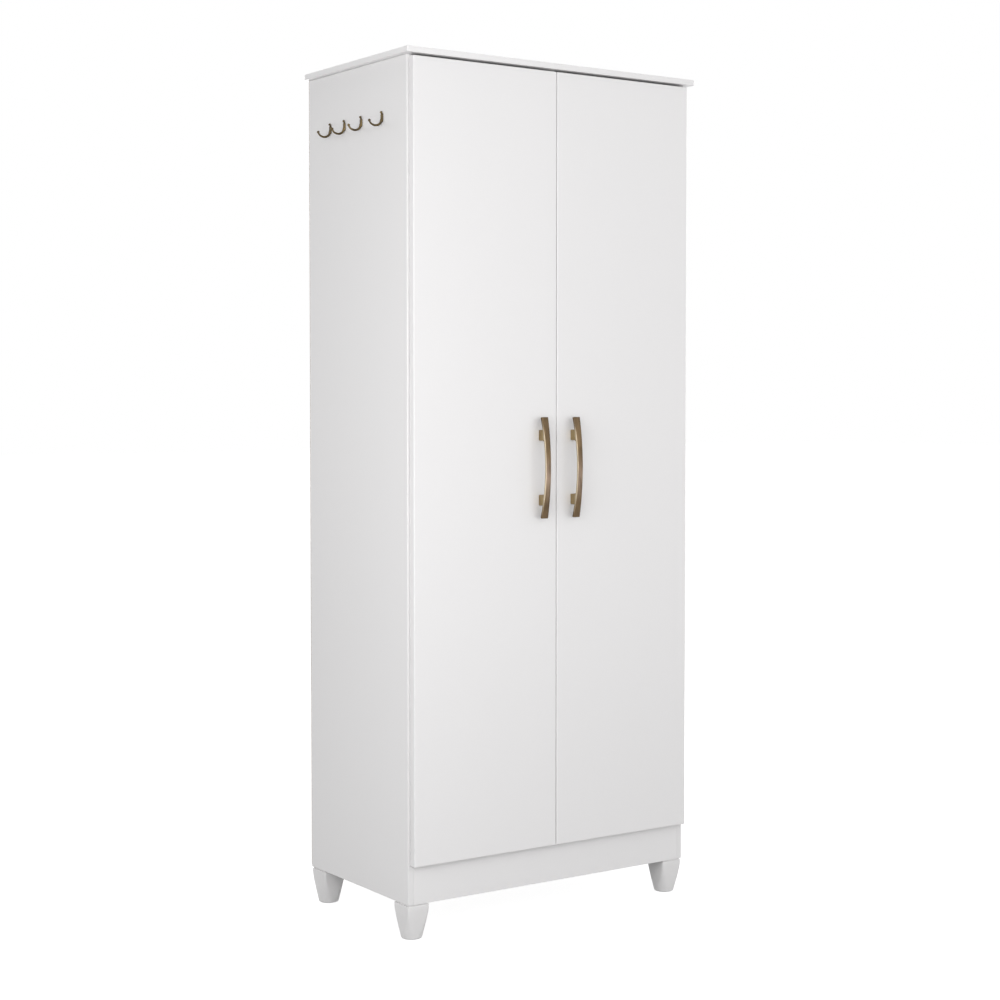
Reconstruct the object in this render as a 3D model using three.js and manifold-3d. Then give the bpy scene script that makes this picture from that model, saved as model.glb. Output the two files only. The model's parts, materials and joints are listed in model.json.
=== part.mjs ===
// Broom cupboard: a tall white two-door cupboard on four tapered feet, with a row of small hooks on its left side.
// Millimetres, +Z up. While building, x = 0 is the outer face of the left side panel, y = 0 the front edges of the
// side panels and z = 0 the floor; the finished group is then moved so that its origin is the middle of the floor
// rectangle that holds it.

import * as THREE from 'three';
import { mergeVertices } from 'three/addons/utils/BufferGeometryUtils.js';
import Module from 'manifold-3d';

const wasm = await Module();
wasm.setup();

// Driving sizes
const body = {
  width: 677, depth: 379, height: 1618, boardThick: 12, edgeRadius: 1.5, innerEdgeRadius: 0.4, liningRadius: 0.8,
  seat: 0.2,
};
const slab = { thick: 12, sideOverhang: 11.5, frontOverhang: 21, edgeRadius: 2 };
const plinth = { height: 80, edgeRadius: 0.4 };
const back = { thick: 3, sideMargin: 1.5, bottomMargin: 4, topMargin: 2, middleGap: 2, edgeRadius: 0.4 };
const shelf = { count: 4, topBayHeight: 280, frontSetback: 24, edgeRadius: 0.8 };
const foot = {
  height: 70, width: 48, depth: 53.5, inset: 0.7, corner: 3.5, collar: 9, taperPower: 1.25, bottomRadius: 21,
  soleRadius: 4, wall: 15.5, hollowFloor: 8, hollowBottomRadius: 7, upstandHeight: 28, upstandThick: 3,
  upstandGap: 0.3, upstandMargin: 4,
};
const door = {
  thick: 15, gapBehind: 1.2, inset: 4.5, aboveBodyBottom: 76, topGap: 6, seam: 2, frontRadius: 3, backRadius: 1,
  axisFromEdge: 1.1, axisFromBack: 3.4,
};
const handle = {
  postSpacing: 128, length: 199, standoff: 25, bow: 13, middleWidth: 12, endWidth: 16, thick: 6, cornerRadius: 1.4,
  postWidth: 10, postHeight: 21, postCorner: 1, postSink: 2, fromDoorEdge: 38, belowDoorMiddle: 11, seat: 0.2,
};
const screw = {
  radius: 2, clearance: 0.3, headRadius: 4, headHeight: 2.4, headCrown: 0.8, tipChamfer: 0.6, reachIntoPost: 9,
};
const hook = {
  placeShares: [0.235, 0.443, 0.615, 0.763], topBelowSlab: 97,
  plateWidth: 8, plateHeight: 17.5, plateThick: 2.6, plateBevel: 0.9, armSpan: 26.5, armDrop: 10.5, armSweep: 170,
  rootRadius: 2.5, rootRise: 8, rootTopRadius: 1, tipRadius: 1.7, ballRadius: 2.8,
  finialRadius: 2.5, finialSink: 0.8, seat: 0.2,
};
const hinge = {
  endDistance: 100, cupRadius: 17.5, cupDepth: 11.8, cupClearance: 0.3, cupWall: 1, cupFromEdge: 22.5,
  lipOverhang: 1.3, lipThick: 0.6, earLength: 62, earWidth: 20, earCorner: 8,
  pinX: 19, pinY: -3, pinRadius: 1.5, noseRadius: 3.4, noseStart: 4,
  armOuterX: 23.5, armInnerX: 14.5, armLength: 62, armHalfWidth: 8.1, armSheet: 1.2, webFront: 1,
  slotMiddle: 50, slotLength: 14, slotWidth: 6, adjusterY: 31, adjusterRadius: 3.2,
  bossHalfWidth: 6.5, bossStart: 20, bossEnd: 58, bossEdge: 1.5, seat: 0.3, plateSeat: 0.2,
  wingHalfWidth: 21, wingStart: 30, wingEnd: 44, wingThick: 2, wingCorner: 6, holeSpacing: 32, holeRadius: 2.3,
  linkLength: 21, linkAngle: -15.5, linkBarrel: 3, linkTipRadius: 2, linkSheet: 1.8, linkHalfWidth: 6.2,
  linkClearance: 0.3,
};
// Counts of facets
const facets = {
  board: 3, footCorner: 5, footRings: 5, sole: 2, bar: 18, barCorner: 2, hookArm: 14, hookSides: 8, ball: 8, screw: 12,
  cup: 24, pin: 12, hole: 8, ear: 3, boss: 1,
};
const overrun = 1; // how far a cutting tool runs past the face that it cuts

// Places worked out from the driving sizes
const base = foot.height;
const slabUnder = base + body.height;
const innerLeft = body.boardThick;
const innerRight = body.width - body.boardThick;
const middle = body.width / 2;
const dividerLeft = middle - body.boardThick / 2;
const dividerRight = middle + body.boardThick / 2;
const bottomPanelLow = base + plinth.height + body.seat;
const bottomPanelTop = bottomPanelLow + body.boardThick;
const doorBack = -door.gapBehind;
const doorFront = doorBack - door.thick;
const doorLow = base + door.aboveBodyBottom;
const doorTop = slabUnder - door.topGap;
const doorWidth = middle - door.seam / 2 - door.inset;
const handleZ = (doorLow + doorTop) / 2 - handle.belowDoorMiddle;
const handleX = door.inset + doorWidth - handle.fromDoorEdge;
const hingeHeights = [doorLow + hinge.endDistance, (doorLow + doorTop) / 2, doorTop - hinge.endDistance];

const degrees = THREE.MathUtils.degToRad;

// Closed meshes are turned so that their faces point out, whichever way round they were drawn or mirrored.
function outward(geometry) {
  const p = geometry.getAttribute('position');
  const index = geometry.getIndex().array;
  const [a, b, c] = [new THREE.Vector3(), new THREE.Vector3(), new THREE.Vector3()];
  let volume = 0;
  for (let i = 0; i < index.length; i += 3) {
    a.fromBufferAttribute(p, index[i]);
    b.fromBufferAttribute(p, index[i + 1]);
    c.fromBufferAttribute(p, index[i + 2]);
    volume += a.dot(b.cross(c));
  }
  if (volume < 0) {
    for (let i = 0; i < index.length; i += 3) [index[i + 1], index[i + 2]] = [index[i + 2], index[i + 1]];
  }
  return geometry;
}

// Only positions are kept and shared corners merged, which leaves one closed mesh.
function closed(geometry) {
  geometry.deleteAttribute('normal');
  geometry.deleteAttribute('uv');
  return outward(mergeVertices(geometry));
}

function meshGeometry(positions, faces) {
  const geometry = new THREE.BufferGeometry();
  geometry.setAttribute('position', new THREE.Float32BufferAttribute(positions, 3));
  geometry.setIndex(faces);
  return outward(geometry);
}

// A solid through a stack of rings with the same number of points, capped flat at both ends.
function loft(rings) {
  const count = rings[0].length;
  const faces = [];
  for (let ring = 0; ring < rings.length - 1; ring += 1) {
    for (let i = 0; i < count; i += 1) {
      const next = (i + 1) % count;
      const [low, lowNext] = [ring * count + i, ring * count + next];
      faces.push(low, lowNext, lowNext + count, low, lowNext + count, low + count);
    }
  }
  const last = (rings.length - 1) * count;
  for (let i = 1; i < count - 1; i += 1) faces.push(0, i + 1, i, last, last + i, last + i + 1);
  return meshGeometry(rings.flat().flatMap((point) => [point.x, point.y, point.z]), faces);
}

// Joins and cuts
function toSolid(geometry) {
  return new wasm.Manifold(new wasm.Mesh({
    numProp: 3,
    vertProperties: new Float32Array(geometry.getAttribute('position').array),
    triVerts: new Uint32Array(geometry.getIndex().array),
  }));
}

function toGeometry(solid) {
  const mesh = solid.getMesh();
  return meshGeometry(Array.from(mesh.vertProperties), Array.from(mesh.triVerts));
}

function join(...geometries) {
  return toGeometry(geometries.map(toSolid).reduce((whole, next) => whole.add(next)));
}

function cut(geometry, ...tools) {
  return toGeometry(tools.map(toSolid).reduce((whole, tool) => whole.subtract(tool), toSolid(geometry)));
}

// The same solid seen in a mirror that stands across the x or y axis.
function mirrored(geometry, x, y) {
  return outward(geometry.clone().applyMatrix4(new THREE.Matrix4().makeScale(x, y, 1)));
}

// A board: rectangles stacked through its thickness and drawn in by a quarter arc towards each face. lowRadius and
// highRadius round the edges of the face at the low and the high end of the axis that runs through the board.
function board(ranges, through, lowRadius, highRadius = lowRadius) {
  const [low, high] = ranges[through];
  const [u, v] = ['x', 'y', 'z'].filter((axis) => axis !== through);
  const ring = (inset, place) => {
    const corners = [[0, 0], [1, 0], [1, 1], [0, 1]];
    return corners.map(([atU, atV]) => {
      const point = new THREE.Vector3();
      point[through] = place;
      point[u] = atU ? ranges[u][1] - inset : ranges[u][0] + inset;
      point[v] = atV ? ranges[v][1] - inset : ranges[v][0] + inset;
      return point;
    });
  };
  const rings = [];
  for (let step = 0; step <= facets.board; step += 1) {
    const angle = (Math.PI / 2) * (step / facets.board);
    rings.push(ring(lowRadius * (1 - Math.sin(angle)), low + lowRadius * (1 - Math.cos(angle))));
  }
  for (let step = facets.board; step >= 0; step -= 1) {
    const angle = (Math.PI / 2) * (step / facets.board);
    rings.push(ring(highRadius * (1 - Math.sin(angle)), high - highRadius * (1 - Math.cos(angle))));
  }
  return loft(rings);
}

function block(x, y, z) {
  const geometry = new THREE.BoxGeometry(x[1] - x[0], y[1] - y[0], z[1] - z[0]);
  geometry.translate((x[0] + x[1]) / 2, (y[0] + y[1]) / 2, (z[0] + z[1]) / 2);
  return closed(geometry);
}

// A round bar or bore from one end to the other along an axis, with its middle line through the given point.
function rod(axis, radius, from, to, at, sides) {
  const geometry = new THREE.CylinderGeometry(radius, radius, to - from, sides);
  if (axis === 'x') geometry.rotateZ(Math.PI / 2);
  if (axis === 'z') geometry.rotateX(Math.PI / 2);
  const centre = new THREE.Vector3(at.x ?? 0, at.y ?? 0, at.z ?? 0);
  centre[axis] = (from + to) / 2;
  geometry.translate(centre.x, centre.y, centre.z);
  return closed(geometry);
}

// Points round a rectangle with arcs at its corners, the middle at zero.
function roundedRing(halfU, halfV, radius, steps) {
  const points = [];
  const corners = [[1, 1], [-1, 1], [-1, -1], [1, -1]];
  corners.forEach(([signU, signV], quarter) => {
    for (let step = 0; step <= steps; step += 1) {
      const angle = (Math.PI / 2) * (quarter + step / steps);
      points.push(new THREE.Vector2(
        signU * (halfU - radius) + radius * Math.cos(angle),
        signV * (halfV - radius) + radius * Math.sin(angle),
      ));
    }
  });
  return points;
}

// Materials
function material(name, colour, roughness, metalness = 0) {
  const made = new THREE.MeshStandardMaterial({ color: colour, roughness, metalness });
  made.name = name;
  return made;
}
const lacquer = () => material('white_lacquer', 0xececea, 0.35);
const rawBoard = () => material('white_board', 0xe6e6e3, 0.5);
const hardboard = () => material('back_board', 0xdcdbd6, 0.6);
const footPlastic = () => material('foot_plastic', 0xe9e9e7, 0.4);
const brass = () => material('antique_brass', 0x86683e, 0.38, 0.9);
const steel = () => material('nickel_steel', 0xb9babb, 0.3, 1);

const cupboard = new THREE.Group();

// What swings is grouped at its upright axis: each door at its hinge line, and each set of links at its pins.
function swing(x, y) {
  const group = new THREE.Group();
  group.position.set(x, y, 0);
  cupboard.add(group);
  return group;
}
const doorAxis = { x: door.inset + door.axisFromEdge, y: doorBack - door.axisFromBack };
const leftDoor = swing(doorAxis.x, doorAxis.y);
const rightDoor = swing(body.width - doorAxis.x, doorAxis.y);
const leftLinks = swing(hinge.pinX, hinge.pinY);
const rightLinks = swing(body.width - hinge.pinX, hinge.pinY);

// Places are given in the carcass's frame, whatever the group that a piece swings with.
function piece(parent, name, geometry, finish, x = 0, y = 0, z = 0) {
  const mesh = new THREE.Mesh(geometry, finish);
  mesh.name = name;
  mesh.position.set(x - parent.position.x, y - parent.position.y, z);
  parent.add(mesh);
}

// Carcass boards
function makeCarcass() {
  const depth = [0, body.depth];
  const sideHeight = [base + body.seat, slabUnder - body.seat];
  const between = [innerLeft + body.seat, innerRight - body.seat];
  const upright = [bottomPanelTop + body.seat, slabUnder - body.seat];
  const side = board({
    x: [0, body.boardThick], y: depth, z: sideHeight,
  }, 'x', body.edgeRadius, body.innerEdgeRadius);
  piece(cupboard, 'left_side_panel', side, lacquer());
  piece(cupboard, 'right_side_panel', mirrored(side, -1, 1), lacquer(), body.width);
  piece(cupboard, 'top_slab', board({
    x: [-slab.sideOverhang, body.width + slab.sideOverhang],
    y: [-slab.frontOverhang, body.depth],
    z: [slabUnder, slabUnder + slab.thick],
  }, 'z', slab.edgeRadius), lacquer());
  piece(cupboard, 'bottom_panel', board({
    x: between, y: depth, z: [bottomPanelLow, bottomPanelTop],
  }, 'z', body.liningRadius), rawBoard());
  const plinthHeight = [base + body.seat, base + plinth.height];
  piece(cupboard, 'plinth_front', board({
    x: between, y: [0, body.boardThick], z: plinthHeight,
  }, 'y', plinth.edgeRadius), lacquer());
  piece(cupboard, 'plinth_rear', board({
    x: between, y: [body.depth - body.boardThick, body.depth], z: plinthHeight,
  }, 'y', body.liningRadius), rawBoard());
  piece(cupboard, 'centre_divider', board({
    x: [dividerLeft, dividerRight], y: depth, z: upright,
  }, 'x', body.liningRadius), rawBoard());
}

// Back panels, nailed over the rear edges and meeting behind the divider
function makeBack() {
  const y = [body.depth + body.seat, body.depth + body.seat + back.thick];
  const z = [base + back.bottomMargin, slabUnder + slab.thick - back.topMargin];
  const panel = (x) => board({ x, y, z }, 'y', back.edgeRadius);
  const halfGap = back.middleGap / 2;
  piece(cupboard, 'back_panel_left', panel([back.sideMargin, middle - halfGap]), hardboard());
  piece(cupboard, 'back_panel_right', panel([middle + halfGap, body.width - back.sideMargin]), hardboard());
}

// Shelves: the top ones line up left and right, and the others share the height below on the right
function makeShelves() {
  const topShelfLow = slabUnder - shelf.topBayHeight - body.boardThick;
  const pitch = (topShelfLow - bottomPanelTop) / shelf.count;
  const y = [shelf.frontSetback, body.depth - body.seat];
  const leftBay = [innerLeft + body.seat, dividerLeft - body.seat];
  const rightBay = [dividerRight + body.seat, innerRight - body.seat];
  const shelfBoard = (x, low) => board({ x, y, z: [low, low + body.boardThick] }, 'z', shelf.edgeRadius);
  piece(cupboard, 'left_top_shelf', shelfBoard(leftBay, topShelfLow), rawBoard());
  for (let i = 1; i <= shelf.count; i += 1) {
    piece(cupboard, `right_shelf_${i}`, shelfBoard(rightBay, bottomPanelTop + i * pitch), rawBoard());
  }
}

// Feet: a rectangular collar just inside the corner of the body, below it a taper that turns round towards a soft
// sole, a hollow from above, and an angle that stands up inside the corner of the plinth.
function footSolid() {
  const halfX = foot.width / 2;
  const halfY = foot.depth / 2;
  const ringAt = (reachX, reachY, corner, z) => roundedRing(reachX, reachY, corner, facets.footCorner)
    .map((p) => new THREE.Vector3(p.x + halfX + foot.inset, p.y + halfY + foot.inset, z));
  const rings = [ringAt(halfX, halfY, foot.corner, foot.height)];
  for (let step = 0; step <= facets.footRings; step += 1) {
    const down = step / facets.footRings;
    const share = down ** foot.taperPower;
    rings.push(ringAt(
      THREE.MathUtils.lerp(halfX, foot.bottomRadius, share),
      THREE.MathUtils.lerp(halfY, foot.bottomRadius, share),
      THREE.MathUtils.lerp(foot.corner, foot.bottomRadius, share),
      THREE.MathUtils.lerp(foot.height - foot.collar, foot.soleRadius, down),
    ));
  }
  for (let step = 1; step <= facets.sole; step += 1) {
    const turn = (Math.PI / 2) * (step / facets.sole);
    const reach = foot.bottomRadius - foot.soleRadius * (1 - Math.cos(turn));
    rings.push(ringAt(reach, reach, reach, foot.soleRadius * (1 - Math.sin(turn))));
  }
  const hollow = loft([
    ringAt(foot.hollowBottomRadius, foot.hollowBottomRadius, foot.hollowBottomRadius, foot.hollowFloor),
    ringAt(halfX - foot.wall, halfY - foot.wall, foot.corner, foot.height + overrun),
  ]);
  const near = body.boardThick + foot.upstandGap;
  const thick = near + foot.upstandThick;
  const farX = foot.inset + foot.width - foot.upstandMargin;
  const farY = foot.inset + foot.depth - foot.upstandMargin;
  const rise = [foot.height - foot.upstandThick, foot.height + foot.upstandHeight];
  return join(
    cut(loft(rings), hollow),
    block([near, farX], [near, thick], rise),
    block([near, thick], [near, farY], rise),
  );
}

function makeFeet() {
  const front = footSolid();
  const places = {
    foot_front_left: [1, 1], foot_front_right: [-1, 1], foot_rear_left: [1, -1], foot_rear_right: [-1, -1],
  };
  for (const [name, [x, y]] of Object.entries(places)) {
    const shape = mirrored(front, x, y);
    piece(cupboard, name, shape, footPlastic(), x > 0 ? 0 : body.width, y > 0 ? 0 : body.depth);
  }
}

// Side hooks: a slim rounded plate with a ball finial, and an arm on a half ellipse that thins towards its ball
// tip. Out from the side panel is -x; z = 0 is the level where the arm leaves the plate.
function hookSolid() {
  const half = hook.armSpan / 2;
  const ringAt = (centre, tangent, radius) => {
    const ring = [];
    for (let side = 0; side < facets.hookSides; side += 1) {
      const turn = (2 * Math.PI * side) / facets.hookSides;
      const across = radius * Math.cos(turn);
      ring.push(new THREE.Vector3(
        centre.x - tangent.y * across, radius * Math.sin(turn), centre.y + tangent.x * across,
      ));
    }
    return ring;
  };
  const onArc = (angle) => new THREE.Vector2(
    -hook.rootRadius - half - half * Math.cos(angle), hook.armDrop * Math.sin(angle),
  );
  const down = new THREE.Vector2(0, -1);
  const arm = [ringAt(new THREE.Vector2(-hook.rootTopRadius, hook.rootRise), down, hook.rootTopRadius)];
  for (let step = 0; step <= facets.hookArm; step += 1) {
    const share = step / facets.hookArm;
    const angle = degrees(180 + hook.armSweep * share);
    const tangent = new THREE.Vector2(half * Math.sin(angle), hook.armDrop * Math.cos(angle)).normalize();
    const radius = THREE.MathUtils.lerp(hook.rootRadius, hook.tipRadius, share);
    arm.push(ringAt(onArc(angle), tangent, radius));
  }
  const end = onArc(degrees(180 + hook.armSweep));
  const ball = (radius, x, z) => {
    const geometry = new THREE.SphereGeometry(radius, facets.ball, facets.ball - 2);
    geometry.rotateX(Math.PI / 2);
    return closed(geometry.translate(x, 0, z));
  };
  const halfWidth = hook.plateWidth / 2;
  const plateRing = (x, inset) => roundedRing(
    halfWidth - inset, hook.plateHeight / 2 - inset, halfWidth - inset, facets.ear,
  ).map((p) => new THREE.Vector3(x, p.x, p.y + hook.plateHeight / 2 - halfWidth));
  const plate = loft([
    plateRing(0, 0), plateRing(hook.plateBevel - hook.plateThick, 0), plateRing(-hook.plateThick, hook.plateBevel),
  ]);
  const finialZ = hook.plateHeight - halfWidth + hook.finialRadius - hook.finialSink;
  return join(
    plate,
    loft(arm),
    ball(hook.ballRadius, end.x, end.y),
    ball(hook.finialRadius, -hook.finialRadius, finialZ),
  );
}

function makeHooks() {
  const solid = hookSolid();
  const finialTop = hook.plateHeight - hook.plateWidth / 2 + 2 * hook.finialRadius - hook.finialSink;
  const level = slabUnder - hook.topBelowSlab - finialTop;
  hook.placeShares.forEach((share, i) => {
    piece(cupboard, `side_hook_${i + 1}`, solid.clone(), brass(), -hook.seat, share * body.depth, level);
  });
}

// Concealed hinges, drawn in plan beside the left side panel with z = 0 at their middle height
const cupX = door.inset + hinge.cupFromEdge;

function cupBore(extra) {
  const bottom = doorBack - hinge.cupDepth;
  return rod('y', hinge.cupRadius, bottom, doorBack + extra, { x: cupX }, facets.cup);
}

function hingeCupSolid() {
  const outer = hinge.cupRadius - hinge.cupClearance;
  const floor = doorBack - hinge.cupDepth + hinge.cupClearance;
  const lipLow = doorBack + body.seat;
  const lipTop = lipLow + hinge.lipThick;
  const at = { x: cupX };
  const ear = (y) => roundedRing(hinge.earWidth / 2, hinge.earLength / 2, hinge.earCorner, facets.ear)
    .map((p) => new THREE.Vector3(p.x + cupX, y, p.y));
  return cut(
    join(
      rod('y', outer, floor, lipTop, at, facets.cup),
      rod('y', hinge.cupRadius + hinge.lipOverhang, lipLow, lipTop, at, facets.cup),
      loft([ear(lipLow), ear(lipTop)]),
    ),
    rod('y', outer - hinge.cupWall, floor + hinge.cupWall, lipTop + overrun, at, facets.cup),
  );
}

// The arm is a channel of bent sheet: two cheeks that end in a round nose, the pin, and the web between them, with
// a round hole over the side adjuster and a slot for the fixing screw.
function hingeArmSolid() {
  const cheek = (low) => {
    const outline = new THREE.Shape();
    outline.moveTo(hinge.armInnerX, hinge.armLength);
    outline.lineTo(hinge.armInnerX, hinge.noseStart);
    outline.lineTo(hinge.pinX - hinge.noseRadius, hinge.pinY);
    outline.absarc(hinge.pinX, hinge.pinY, hinge.noseRadius, Math.PI, 0, false);
    outline.lineTo(hinge.armOuterX, hinge.noseStart);
    outline.lineTo(hinge.armOuterX, hinge.armLength);
    const sheet = new THREE.ExtrudeGeometry(outline, {
      depth: hinge.armSheet, bevelEnabled: false, curveSegments: facets.pin / 2,
    });
    return closed(sheet.translate(0, 0, low));
  };
  const half = hinge.armHalfWidth;
  const webLow = hinge.armOuterX - hinge.armSheet;
  const slotRing = (x) => roundedRing(
    hinge.slotLength / 2, hinge.slotWidth / 2, hinge.slotWidth / 2, facets.ear,
  ).map((p) => new THREE.Vector3(x, p.x + hinge.slotMiddle, p.y));
  return join(
    cheek(-half),
    cheek(half - hinge.armSheet),
    cut(
      block([webLow, hinge.armOuterX], [hinge.webFront, hinge.armLength], [-half, half]),
      loft([slotRing(webLow - overrun), slotRing(hinge.armOuterX + overrun)]),
      rod('x', hinge.adjusterRadius, webLow - overrun, hinge.armOuterX + overrun, { y: hinge.adjusterY }, facets.hole),
    ),
    rod('z', hinge.pinRadius, -half, half, { x: hinge.pinX, y: hinge.pinY }, facets.pin),
  );
}

// The plate has a boss with softened edges, which the arm clips over, and round-ended wings with a screw hole each.
function hingePlateSolid() {
  const seatX = body.boardThick + hinge.plateSeat;
  const bossTop = hinge.armOuterX - hinge.armSheet - hinge.seat;
  const wingTop = seatX + hinge.wingThick;
  const outline = (start, end, halfWidth, corner, steps, inset, x) => roundedRing(
    (end - start) / 2 - inset, halfWidth - inset, corner, steps,
  ).map((p) => new THREE.Vector3(x, p.x + (start + end) / 2, p.y));
  const bossRing = (inset, x) => outline(
    hinge.bossStart, hinge.bossEnd, hinge.bossHalfWidth, hinge.bossEdge, facets.boss, inset, x,
  );
  const wingRing = (x) => outline(
    hinge.wingStart, hinge.wingEnd, hinge.wingHalfWidth, hinge.wingCorner, facets.ear, 0, x,
  );
  const holes = [-1, 1].map((end) => rod('x', hinge.holeRadius, seatX - overrun, wingTop + overrun, {
    y: (hinge.wingStart + hinge.wingEnd) / 2, z: (end * hinge.holeSpacing) / 2,
  }, facets.hole));
  return join(
    loft([bossRing(0, seatX), bossRing(0, bossTop - hinge.bossEdge), bossRing(hinge.bossEdge, bossTop)]),
    cut(loft([wingRing(seatX), wingRing(wingTop)]), ...holes),
  );
}

function hingeLinkSolid() {
  const half = hinge.linkHalfWidth;
  const bore = hinge.pinRadius + hinge.linkClearance;
  const web = block([0, hinge.linkLength], [-hinge.linkSheet / 2, hinge.linkSheet / 2], [-half, half]);
  const flat = cut(
    join(
      rod('z', hinge.linkBarrel, -half, half, {}, facets.pin),
      rod('z', hinge.linkTipRadius, -half, half, { x: hinge.linkLength }, facets.pin),
      web,
    ),
    rod('z', bore, -half - overrun, half + overrun, {}, facets.pin),
  );
  flat.rotateZ(degrees(hinge.linkAngle));
  return flat.translate(hinge.pinX, hinge.pinY, 0);
}

function makeHinges() {
  const solids = {
    hinge_plate: [hingePlateSolid(), cupboard, cupboard],
    hinge_arm: [hingeArmSolid(), cupboard, cupboard],
    hinge_link: [hingeLinkSolid(), leftLinks, rightLinks],
    hinge_cup: [hingeCupSolid(), leftDoor, rightDoor],
  };
  hingeHeights.forEach((z, i) => {
    for (const [name, [solid, leftParent, rightParent]] of Object.entries(solids)) {
      piece(leftParent, `left_${name}_${i + 1}`, solid.clone(), steel(), 0, 0, z);
      piece(rightParent, `right_${name}_${i + 1}`, mirrored(solid, -1, 1), steel(), body.width, 0, z);
    }
  });
}

// Doors: a board with a soft front edge, bored from behind for the hinge cups and through for the handle screws
const postHeights = [handleZ - handle.postSpacing / 2, handleZ + handle.postSpacing / 2];

function doorSolid() {
  const panel = board({
    x: [door.inset, door.inset + doorWidth], y: [doorFront, doorBack], z: [doorLow, doorTop],
  }, 'y', door.frontRadius, door.backRadius);
  const bores = hingeHeights.map((z) => cupBore(overrun).translate(0, 0, z));
  const screwHoles = postHeights.map((z) => rod(
    'y', screw.radius + screw.clearance, doorFront - overrun, doorBack + overrun, { x: handleX, z }, facets.screw,
  ));
  return cut(panel, ...bores, ...screwHoles);
}

function makeDoors() {
  const panel = doorSolid();
  piece(leftDoor, 'left_door', panel, lacquer());
  piece(rightDoor, 'right_door', mirrored(panel, -1, 1), lacquer(), body.width);
}

// Handles: a bar on a circular arc that flares towards its square-cut ends, on two block posts.
// y = 0 is the seat on the door's face and z = 0 the middle of the handle.
function handleSolid() {
  const half = handle.length / 2;
  const arcRadius = (half * half + handle.bow * handle.bow) / (2 * handle.bow);
  const reach = Math.asin(half / arcRadius);
  const rings = [];
  for (let step = 0; step <= facets.bar; step += 1) {
    const share = (2 * step) / facets.bar - 1;
    const angle = reach * share;
    const width = THREE.MathUtils.lerp(handle.middleWidth, handle.endWidth, share * share);
    const outline = roundedRing(width / 2, handle.thick / 2, handle.cornerRadius, facets.barCorner);
    rings.push(outline.map((p) => {
      const radius = arcRadius + p.y;
      return new THREE.Vector3(
        p.x, arcRadius - handle.standoff - radius * Math.cos(angle), radius * Math.sin(angle),
      );
    }));
  }
  const postAngle = Math.asin(handle.postSpacing / 2 / arcRadius);
  const barBack = arcRadius - handle.standoff - (arcRadius - handle.thick / 2) * Math.cos(postAngle);
  const posts = [-1, 1].map((end) => {
    const ring = (y) => roundedRing(
      handle.postWidth / 2, handle.postHeight / 2, handle.postCorner, facets.barCorner,
    ).map((p) => new THREE.Vector3(p.x, y, p.y + (end * handle.postSpacing) / 2));
    return loft([ring(barBack - handle.postSink), ring(0)]);
  });
  const bores = [-1, 1].map((end) => rod(
    'y', screw.radius + screw.clearance, -screw.reachIntoPost - overrun, overrun,
    { z: (end * handle.postSpacing) / 2 }, facets.screw,
  ));
  return cut(join(loft(rings), ...posts), ...bores);
}

// A pan-head screw from behind the door, y = 0 at the door's rear face.
function handleScrewSolid() {
  const tip = -door.thick - screw.reachIntoPost;
  const profile = [
    [0, tip],
    [screw.radius - screw.tipChamfer, tip],
    [screw.radius, tip + screw.tipChamfer],
    [screw.radius, body.seat],
    [screw.headRadius, body.seat],
    [screw.headRadius, body.seat + screw.headHeight - screw.headCrown],
    [screw.headRadius - screw.headCrown, body.seat + screw.headHeight],
    [0, body.seat + screw.headHeight],
  ].map(([radius, y]) => new THREE.Vector2(radius, y));
  return closed(new THREE.LatheGeometry(profile, facets.screw));
}

function makeHandles() {
  const bar = handleSolid();
  const fastener = handleScrewSolid();
  const sides = [['left', leftDoor, handleX], ['right', rightDoor, body.width - handleX]];
  for (const [side, parent, x] of sides) {
    piece(parent, `${side}_handle`, bar.clone(), brass(), x, doorFront - handle.seat, handleZ);
    postHeights.forEach((z, i) => {
      piece(parent, `${side}_handle_screw_${i + 1}`, fastener.clone(), steel(), x, doorBack, z);
    });
  }
}

makeCarcass();
makeBack();
makeShelves();
makeFeet();
makeHooks();
makeHinges();
makeDoors();
makeHandles();

// The reach of the hooks, the slab, the handles and the back gives the middle of the floor rectangle.
const hookEnd = (hook.armSpan / 2) * (1 + Math.cos(degrees(180 - hook.armSweep)));
const lowX = -hook.seat - hook.rootRadius - hookEnd - hook.ballRadius;
const highX = body.width + slab.sideOverhang;
const lowY = doorFront - handle.seat - handle.standoff - handle.thick / 2;
const highY = body.depth + body.seat + back.thick;
cupboard.position.set(-(lowX + highX) / 2, -(lowY + highY) / 2, 0);

export default cupboard;
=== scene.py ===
import json
import math

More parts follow.
